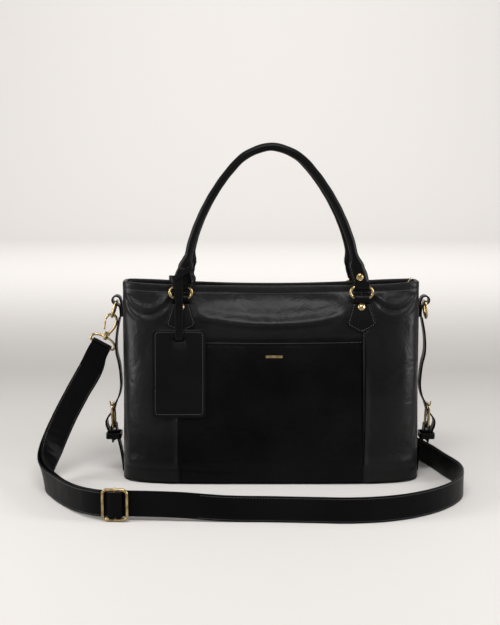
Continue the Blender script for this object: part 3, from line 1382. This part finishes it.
@dataclass
class SideStrap:
    """The buckled strap on one end of the bag, with its ring above it."""

    side: Side
    finishes: Finishes
    ring_top: tuple = (0.2195, 0.2500)
    ring_reach: float = 0.0235
    ring_half: float = 0.0115
    strap_half: float = 0.0100
    buckle_top: tuple = (0.2275, 0.1005)
    buckle_foot: tuple = (0.2262, 0.0690)
    buckle_half: float = 0.0135
    metal: float = 0.0019

    def placed(self, points: Sequence) -> np.ndarray:
        """Puts rows of x and z in the bag's middle plane, on this side."""
        points = np.array(points, float)
        return np.column_stack([self.side.value * points[:, 0], np.zeros(len(points)), points[:, 1]])

    def build_loop(self) -> None:
        """Makes the leather loop that holds the ring."""
        loop = smooth([
            (0.2112, 0.2290), (0.2112, 0.2380), (0.2122, 0.2460), (0.2137, 0.2525), (0.2154, 0.2566),
            (0.2195, 0.2583), (0.2236, 0.2566), (0.2253, 0.2525), (0.2236, 0.2484), (0.2195, 0.2467),
            (0.2155, 0.2440), (0.2141, 0.2385), (0.2139, 0.2290),
        ], 120)
        name = f"{self.side.word}_side_loop"
        piece(f"{name}_leather", [strap(self.placed(loop), Y, 0.0085, 0.0022, groove=STITCH_GROOVE)],
              self.finishes.trim, "root", [name])

    def build_ring(self) -> None:
        """Makes the D-shaped ring."""
        lean = math.radians(17 if self.side is Side.LEFT else 5)
        down = np.array([self.side.value * math.sin(lean), 0, -math.cos(lean)])
        half, reach = self.ring_half, self.ring_reach
        outline = arc((0.0, reach - half), half, 0, 180, 30)
        foot = [(-half, 0.003), (-half + 0.0006, 0.0010), (-half + 0.002, 0.0), (0, 0), (half - 0.002, 0.0),
                (half - 0.0006, 0.0010), (half, 0.003)]
        outline = np.concatenate([outline, foot])
        top = np.array([self.side.value * self.ring_top[0], 0, self.ring_top[1]])
        path = top + outline[:, :1] * Y + outline[:, 1:] * down
        name = f"{self.side.word}_d_ring"
        piece(f"{name}_wire", [wire(path, self.metal)], self.finishes.gold, name, [name])

    def build_strap(self) -> None:
        """Makes the strap that comes down from the ring, over the buckle and into the keeper."""
        line = smooth([
            (0.2150, 0.2282), (0.2183, 0.2125), (0.2208, 0.1913), (0.2205, 0.1766), (0.2170, 0.1600),
            (0.2152, 0.1433), (0.2150, 0.1266), (0.2185, 0.1120), (0.2222, 0.1045), (0.2238, 0.0990),
            (0.2264, 0.0915), (0.2320, 0.0850), (0.2364, 0.0780), (0.2362, 0.0700), (0.2332, 0.0625),
            (0.2299, 0.0560), (0.2281, 0.0500), (0.2274, 0.0455),
        ], 200)
        taper = 1 - ease(arc_length(line), 0.188, 0.206) ** 2 * 0.85
        half = self.strap_half * np.sqrt(np.clip(taper, 0.05, 1))
        name = f"{self.side.word}_side_strap"
        piece(f"{name}_leather", [strap(self.placed(line), Y, half, 0.0022, groove=STITCH_GROOVE)],
              self.finishes.strap, "root", [name])
        foot_x, foot_z = self.buckle_foot
        bend = arc((foot_x, foot_z), 0.0033, 180, 0, 25)
        chape = smooth([(0.2128, 0.0040), (0.2140, 0.0180), (0.2168, 0.0360), (0.2202, 0.0520),
                        (0.2224, 0.0630)], 60)
        chape = np.concatenate([chape, bend, [(0.2286, 0.0630), (0.2264, 0.0560), (0.2246, 0.0490)]])
        chape = resample(chape, 140)
        name = f"{self.side.word}_side_chape"
        piece(f"{name}_leather",
              [strap(self.placed(chape), Y, self.strap_half, 0.0020, groove=STITCH_GROOVE)],
              self.finishes.strap, "root", [name])

    def build_buckle(self) -> None:
        """Makes the buckle's frame, its prong and the leather keeper below."""
        sign, gold = self.side.value, self.finishes.gold
        top = np.array([self.buckle_top[0], 0, self.buckle_top[1]])
        foot = np.array([self.buckle_foot[0], 0, self.buckle_foot[1]])
        up = unit(top - foot)
        plan = rounded_box(self.buckle_half, np.linalg.norm(top - foot) / 2, 0.0042, 10)
        path = ((top + foot) / 2 + plan[:, :1] * Y + plan[:, 1:] * up) * np.array([sign, 1, 1])
        name = f"{self.side.word}_buckle_frame"
        piece(f"{name}_wire", [wire(path, self.metal)], gold, "root", [name])
        foot_x, foot_z = self.buckle_foot
        hook = arc((foot_x, foot_z), 0.0029, 60, -180, 22)
        shank = smooth([(0.2233, 0.0690), (0.2240, 0.0760), (0.2262, 0.0850), (0.2288, 0.0940),
                        (0.2309, 0.1000), (0.2318, 0.1045)], 50)
        line = self.placed(np.concatenate([hook[:-1], shank]))
        name = f"{self.side.word}_buckle_prong"
        piece(f"{name}_wire", [strap(line, Y, 0.0015, 0.0016, count=9)], gold, f"{self.side.word}_prong",
              [name])
        middle = np.array([sign * 0.22615, 0.0, 0.0555])
        loop = rounded_box(0.00925, 0.0120, 0.0020, 8)
        away = unit(np.roll(loop, -1, 0) - np.roll(loop, 1, 0)) @ np.array([[0, -1], [1, 0]])
        section = rounded_box(0.0040, 0.0008, 0.0005, 5)
        ring_at = middle + loop[:, :1] * X + loop[:, 1:] * Y
        out = -(away[:, :1] * X + away[:, 1:] * Y)
        rings = ring_at[:, None] + section[None, :, :1] * Z + (section[None, :, 1:] - 0.0008) * out[:, None]
        name = f"{self.side.word}_keeper"
        piece(f"{name}_leather", [swept(rings, closed=True)], self.finishes.trim, "root", [name])

    def build(self) -> None:
        """Makes the side's ring, strap and buckle."""
        self.build_loop()
        self.build_ring()
        self.build_strap()
        self.build_buckle()


# ---------------------------------------------------------------- shoulder strap


@dataclass
class ShoulderStrap:
    """The shoulder strap as it lies, its second layer, its slider and its two clasps."""

    finishes: Finishes
    half: float = 0.0170
    loop_half: float = 0.0146
    neck_half: float = 0.0150
    thick: float = 0.0026
    samples: int = 420
    stitched_from: int = 12
    outer_from: int = 150
    tail_rows: int = 34
    bend: float = 0.0035
    layer_step: float = 0.0036
    twist_room: float = 0.0028
    slider_at: tuple = (-0.1990, -0.2161, 0.0222)
    slider_axis: tuple = (0.99756, -0.06983, 0.0)
    slider_off: float = 0.0073
    slider_half: tuple = (0.0155, 0.0195)
    ring_drop: float = 0.0125
    hook_top: float = 0.0347
    left_swivel: np.ndarray = field(default_factory=lambda: np.array([-0.2365, 0.0, 0.1985]))
    left_hook: np.ndarray = field(default_factory=lambda: np.array([0.3289, 0.0, 0.9444]))
    left_ring: np.ndarray = field(default_factory=lambda: np.array([0.475, 0.0, 0.880]))
    right_swivel: np.ndarray = field(default_factory=lambda: np.array([-0.1000, 0.1250, 0.0051]))
    with_strap: list = field(default_factory=list)

    def route(self, count: int) -> np.ndarray:
        """The strap's centre-line, with its width direction and half-width.

        Args:
            count: points on the curve before the loop round the far ring.

        Returns:
            Rows of x, y, z, the width direction's three parts and the half-width.
        """
        wide = self.half
        side = (-0.880, 0.0, 0.475)
        start = self.left_swivel - self.ring_drop * self.left_ring - self.bend * Y
        upright = [
            (-0.2910, -0.1240, 0.0174), (-0.2700, -0.1610, 0.0178), (-0.2480, -0.1900, 0.0195),
            (-0.2330, -0.2055, 0.0215), (-0.2200, -0.2136, 0.0222), (-0.1990, -0.2161, 0.0222),
            (-0.1600, -0.2188, 0.0222), (-0.1230, -0.2214, 0.0218), (-0.0600, -0.2240, 0.0180),
            (0.0, -0.2250, 0.0172), (0.0500, -0.2280, 0.0172), (0.1000, -0.2300, 0.0172),
            (0.1570, -0.2190, 0.0172), (0.2180, -0.1810, 0.0172), (0.2540, -0.1290, 0.0172),
            (0.2620, -0.0850, 0.0172), (0.2480, -0.0200, 0.0172), (0.2350, 0.0300, 0.0172),
            (0.2180, 0.0720, 0.0172), (0.1880, 0.1040, 0.0172), (0.1400, 0.1220, 0.0172),
        ]
        rows = [
            (*start, *side, self.loop_half),
            (*(start - 0.014 * self.left_ring - 0.0012 * Y), *side, self.neck_half),
            (-0.2560, -0.0060, 0.1570, -0.90, -0.03, 0.43, wide),
            (-0.2755, -0.0130, 0.1220, -0.92, -0.06, 0.40, wide),
            (-0.2970, -0.0240, 0.0800, -0.92, -0.12, 0.37, wide),
            (-0.3090, -0.0400, 0.0480, -0.76, -0.33, 0.56, wide),
            (-0.3125, -0.0640, 0.0275, -0.36, -0.38, 0.86, wide),
            (-0.3060, -0.0920, 0.0190, -0.10, -0.12, 0.98, wide),
            *((*place, 0.0, 0.0, 1.0, wide) for place in upright),
            (0.0900, 0.1270, 0.0165, 0.0, 0.15, 0.98, wide),
            (0.0450, 0.1280, 0.0125, 0.0, 0.65, 0.75, wide),
            (0.0050, 0.1270, 0.0060, 0.0, 0.95, 0.30, wide),
            (-0.0350, 0.1255, 0.0020, 0.0, 1.0, 0.03, wide),
            (-0.0700, 0.1250, 0.0016, 0.0, 1.0, 0.0, self.neck_half),
        ]
        line = smooth(rows, count)
        bar = self.right_swivel + self.ring_drop * X
        turn = np.linspace(0, math.pi, 25)
        loop = bar + self.bend * np.column_stack([-np.sin(turn), np.zeros(25), -np.cos(turn)])
        back = bar + np.array([(d, 0, self.bend) for d in np.linspace(0.002, 0.022, 8)])
        tail = np.concatenate([loop, back])
        fixed = np.broadcast_to([0.0, 1.0, 0.0, self.loop_half], (len(tail), 4))
        return np.concatenate([line, np.hstack([tail, fixed])])

    def stitched_edges(self, name: str, route: np.ndarray, lift: float, sign: float) -> bpy.types.Object:
        """Makes the two rows of stitches along one face of the strap.

        Args:
            name: the piece's name.
            route: rows as route() gives them.
            lift: distance from the centre-line to that face.
            sign: which face.

        Returns:
            The stitches.
        """
        tangent = unit(np.gradient(route[:, :3], axis=0))
        across = unit(route[:, 3:6] - tangent * (route[:, 3:6] * tangent).sum(1, keepdims=True))
        normal = sign * np.cross(tangent, across)
        rows = [
            stitches(route[:, :3] + s * (route[:, 6:7] - STITCH_INSET) * across + lift * normal, normal,
                     0.0038, 0.0027)
            for s in (-1, 1)
        ]
        return piece(name, rows, self.finishes.thread, "root")

    def build_strap(self) -> bpy.types.Object:
        """Makes the strap's main run.

        Returns:
            The strap.
        """
        route = self.route(self.samples)
        run = arc_length(route)
        wrinkle = 0.00065 * np.sin(run * 820 + 2 * np.sin(run * 160))
        wrinkle = wrinkle * ease(run, 0.05, 0.09) * (1 - ease(run, 0.19, 0.24))
        made = piece("shoulder_strap_leather",
                     [strap(route[:, :3], route[:, 3:6], route[:, 6], self.thick, groove=STITCH_GROOVE,
                            lift=wrinkle)],
                     self.finishes.strap, "root", ["shoulder_strap"])
        outer, inner = route[self.outer_from:-self.tail_rows], route[self.stitched_from:-self.tail_rows]
        self.with_strap += [
            self.stitched_edges("strap_outer_stitching", outer, self.thick / 2, 1.0),
            self.stitched_edges("strap_inner_stitching", inner, self.thick / 2, -1.0),
        ]
        return made

    def build_return(self) -> None:
        """Makes the strap's second layer, from round the near ring to the slider's bar."""
        route = self.route(self.samples)
        stop_x = self.slider_at[0] - 0.0104
        past = np.flatnonzero((route[:, 0] > stop_x) & (route[:, 1] < -0.19))[0]
        share = (stop_x - route[past - 1, 0]) / (route[past, 0] - route[past - 1, 0])
        end = route[past - 1] + (route[past] - route[past - 1]) * share
        path = np.vstack([route[:past], end])
        tangent = unit(np.gradient(path[:, :3], axis=0))
        outward = unit(np.cross(tangent, path[:, 3:6]))
        along = arc_length(path)
        away = self.layer_step + (2 * self.bend - self.layer_step) * (1 - ease(along, 0.0, 0.045))
        away = away + self.twist_room * ease(along, 0.0, 0.045) * (1 - ease(along, 0.22, 0.30))
        path[:, :3] += outward * away[:, None]
        bar = self.left_swivel - self.ring_drop * self.left_ring
        turn = np.linspace(math.radians(20), math.pi, 25)
        head = bar + self.bend * (np.sin(turn)[:, None] * self.left_ring - np.cos(turn)[:, None] * Y)
        head = np.hstack([head, np.broadcast_to(path[0, 3:7], (25, 4))])
        path = np.concatenate([head, path[1:]])
        layer = piece("strap_return_leather",
                      [strap(path[:, :3], path[:, 3:6], path[:, 6], self.thick, groove=STITCH_GROOVE)],
                      self.finishes.strap, "root", ["strap_return"])
        seam = self.stitched_edges("strap_return_stitching", path[30:], self.thick / 2, 1.0)
        self.with_strap += [layer, seam]

    def build_slider(self) -> None:
        """Makes the slider's frame with its centre bar, and the strap's loop round that bar."""
        axis = np.array(self.slider_axis)
        out = np.cross(axis, Z)
        centre = np.array(self.slider_at) + self.slider_off * out
        half_x, half_z = self.slider_half
        plan = rounded_box(half_x, half_z, 0.0060, 10)
        path = centre + plan[:, :1] * axis + plan[:, 1:] * Z
        bar = [(0.0002, -half_z - 0.0030), (0.0012, -half_z - 0.0026), (0.0017, -half_z - 0.0017),
               (0.0014, -half_z - 0.0006), (0.0016, -half_z + 0.002)]
        bar = bar + [(r, -d) for r, d in bar[::-1]]
        made = piece("strap_slider_wire", [wire(path, 0.0020), turned(centre, Z, bar)], self.finishes.gold,
                     "strap_slider", ["strap_slider_frame"])
        self.with_strap.append(made)
        turn = np.linspace(0, 2 * math.pi, 64, endpoint=False)
        z = np.linspace(-0.0165, 0.0165, 40)
        puff = (1 - np.abs(z / 0.0168) ** 8)[:, None] ** 0.25
        crease = 1 - 0.06 * hump(np.cos(turn), 0.0, 0.22)[None] * (np.sin(turn) > 0)[None]
        a, b = 0.0098 * (0.94 + 0.06 * puff), 0.0042 * (0.85 + 0.15 * puff) * crease
        loop = (centre + (a * np.cos(turn))[..., None] * axis + (b * np.sin(turn))[..., None] * out
                + z[:, None, None] * Z)
        around = np.cos(turn)[:, None] * axis + np.sin(turn)[:, None] * out
        bore = centre + 0.0021 * around + z[:, None, None] * Z
        cushion = piece("strap_bar_loop_leather", [hoop(loop, bore)], self.finishes.strap, "strap_slider",
                        ["strap_bar_loop"])
        self.with_strap.append(cushion)

    def build_clasp(self, side: Side, swivel: np.ndarray, ring_axis: np.ndarray, hook_axis: np.ndarray,
                    across: np.ndarray, hook_across: np.ndarray) -> None:
        """Makes one strap ring with its boss, and the trigger clasp that turns in it.

        Args:
            side: which end of the strap.
            swivel: the middle of the boss.
            ring_axis: from the strap towards the boss, in the ring's plane.
            hook_axis: from the boss towards the hook's tip.
            across: the ring's width direction.
            hook_across: the hook's width direction.
        """
        gold, word = self.finishes.gold, side.word
        half = [(0.0152, -0.0125), (0.0175, -0.0116), (0.0185, -0.0095), (0.0176, -0.0055), (0.0125, -0.0018),
                (0.0055, -0.0001)]
        outline = smooth(half + [(-b, a) for b, a in half[::-1]], 90, closed=True)
        loop = swivel + outline[:, :1] * across + outline[:, 1:] * ring_axis
        boss = [(0.0019, -0.0021), (0.0032, -0.0021), (0.0036, -0.0015), (0.0036, 0.0015), (0.0032, 0.0021),
                (0.0019, 0.0021)]
        ring = piece(f"{word}_strap_ring_wire", [wire(loop, 0.0017), turned(swivel, hook_axis, boss)], gold,
                     f"{word}_strap_ring", [f"{word}_strap_ring"])
        shoulder = self.hook_top - 0.0016
        bow = smooth([
            (0.0030, 0.0060), (0.0062, 0.0130), (0.0080, 0.0205), (0.0074, 0.0280), (0.0044, shoulder),
            (0.0, self.hook_top), (-0.0044, shoulder), (-0.0072, 0.0285), (-0.0077, 0.0245),
        ], 90)
        path = swivel + bow[:, :1] * hook_across + bow[:, 1:] * hook_axis
        share = np.linspace(0, 1, 90)
        radius = 0.0017 + 0.0003 * hump(share, 0.5, 0.3) - 0.0005 * ease(share, 0.9, 1.0)
        flat = np.cross(hook_across, hook_axis)
        plan = rounded_box(0.0042, 0.0026, 0.0012)
        rows = [(0.86, -0.0020), (1.0, -0.0015), (1.0, 0.0015), (0.86, 0.0020)]
        heel_at = swivel + 0.0008 * hook_across + 0.0055 * hook_axis
        face = plan[:, :1] * hook_across + plan[:, 1:] * hook_axis
        heel = np.stack([heel_at + s * face + d * flat for s, d in rows])
        post = [(0.0004, -0.0042), (0.0022, -0.0041), (0.0030, -0.0034), (0.0030, -0.0026), (0.0015, -0.0025),
                (0.0015, 0.0045), (0.0002, 0.0045)]
        clasp = piece(f"{word}_clasp_hook", [wire(path, radius, closed=False, flat=1.15), swept(heel),
                                             turned(swivel, hook_axis, post)],
                      gold, f"{word}_clasp", [f"{word}_clasp"])
        rail = smooth([(-0.0050, 0.0100), (-0.0060, 0.0145), (-0.0070, 0.0190), (-0.0076, 0.0224)], 30)
        rail_path = swivel + rail[:, :1] * hook_across + rail[:, 1:] * hook_axis
        gate = piece(f"{word}_clasp_gate_wire", [wire(rail_path, 0.0012, closed=False)], gold, f"{word}_gate",
                     [f"{word}_clasp_gate"])
        self.with_strap += [ring, clasp, gate]

    def build(self) -> None:
        made = self.build_strap()
        self.build_return()
        self.build_slider()
        self.build_clasp(Side.LEFT, self.left_swivel, self.left_ring, self.left_hook,
                         np.array([0.880, 0, -0.475]), np.array([0.9444, 0, -0.3289]))
        self.build_clasp(Side.RIGHT, self.right_swivel, -X, -X, Y, Y)


# ---------------------------------------------------------------- studio


@dataclass
class Studio:
    """The pale sweep, the lights and the camera."""

    camera_at: tuple = (-0.0295, -1.57, 0.463)
    tilt_down: float = 8.3
    lens: float = 64.0
    white: tuple = (1.0, 0.955, 0.918)
    world: float = 0.42

    def add_camera(self) -> None:
        """Puts the camera a little above the bag, looking along +Y and slightly down."""
        eye = bpy.data.cameras.new("camera")
        eye.lens = self.lens
        eye.sensor_width = 36.0
        holder = bpy.data.objects.new("camera", eye)
        holder.location = self.camera_at
        holder.rotation_euler = (math.radians(90 - self.tilt_down), 0, 0)
        bpy.context.scene.collection.objects.link(holder)
        bpy.context.scene.camera = holder

    def add_light(self, name: str, place: tuple, aim: tuple, size: tuple, watts: float) -> None:
        """Adds a soft box.

        Args:
            name: the light's name.
            place: where it stands.
            aim: the point that it faces.
            size: its width and height.
            watts: its power.
        """
        lamp = bpy.data.lights.new(name, "AREA")
        lamp.shape = "RECTANGLE"
        lamp.size, lamp.size_y = size
        lamp.energy = watts
        holder = bpy.data.objects.new(name, lamp)
        holder.location = place
        way = np.array(aim, float) - np.array(place, float)
        tip = math.acos(-way[2] / np.linalg.norm(way))
        holder.rotation_euler = (tip, 0, math.atan2(way[1], way[0]) - math.pi / 2)
        bpy.context.scene.collection.objects.link(holder)

    def add_sweep(self) -> None:
        """Lays the paper: a floor that curves up into a wall, as y and z along a profile."""
        bend = arc((4.2, 2.0), 2.0, -90, 0, 24)
        profile = np.concatenate([[(-30.0, 0.0), (0.0, 0.0)], bend, [(6.2, 12.0)]])
        x = np.linspace(-30, 30, 9)
        points = np.stack([np.column_stack([x, np.full(9, y), np.full(9, z)]) for y, z in profile])
        mesh = bpy.data.meshes.new("paper_sweep")
        mesh.from_pydata(points.reshape(-1, 3).tolist(), [], grid_quads(len(profile), 9).tolist())
        mesh.shade_smooth()
        mesh.materials.append(PaperFinish().make())
        sweep = bpy.data.objects.new("paper_sweep", mesh)
        bpy.context.scene.collection.objects.link(sweep)

    def add_world(self) -> None:
        """Fills the room with an even warm white."""
        world = bpy.data.worlds.new("studio")
        world.use_nodes = True
        back = world.node_tree.nodes["Background"]
        back.inputs["Color"].default_value = (*self.white, 1.0)
        back.inputs["Strength"].default_value = self.world
        bpy.context.scene.world = world
        bpy.context.scene.view_settings.view_transform = "Standard"

    def build(self) -> None:
        """Sets up the studio."""
        self.add_camera()
        self.add_world()
        self.add_sweep()
        self.add_light("overhead", (0, 0.9, 3.4), (0, 0.9, 0), (5.0, 5.0), 18.0)
        self.add_light("wall wash", (0, 1.6, 2.9), (0, 6.0, 1.6), (6.0, 1.5), 340.0)
        self.add_light("front box", (0.0, -1.1, 1.8), (0, 0, 0.22), (1.2, 0.40), 30.0)
        self.add_light("left box", (-1.3, -0.45, 0.55), (0, 0, 0.16), (0.45, 0.9), 17.0)
        self.add_light("right box", (1.3, -0.45, 0.55), (0, 0, 0.16), (0.45, 0.9), 17.0)


def main() -> None:
    """Builds the studio, the strap and then the bag."""
    logging.basicConfig(level=logging.INFO, format="%(name)s: %(message)s")
    Studio().build()
    finishes = Finishes()
    form = BagForm()
    ShoulderStrap(finishes).build()
    Shell(form, finishes).build()
    Handles(form, finishes).build()
    LuggageTag(finishes).build()
    for side in Side:
        SideStrap(side, finishes).build()


if __name__ == "__main__":
    main()
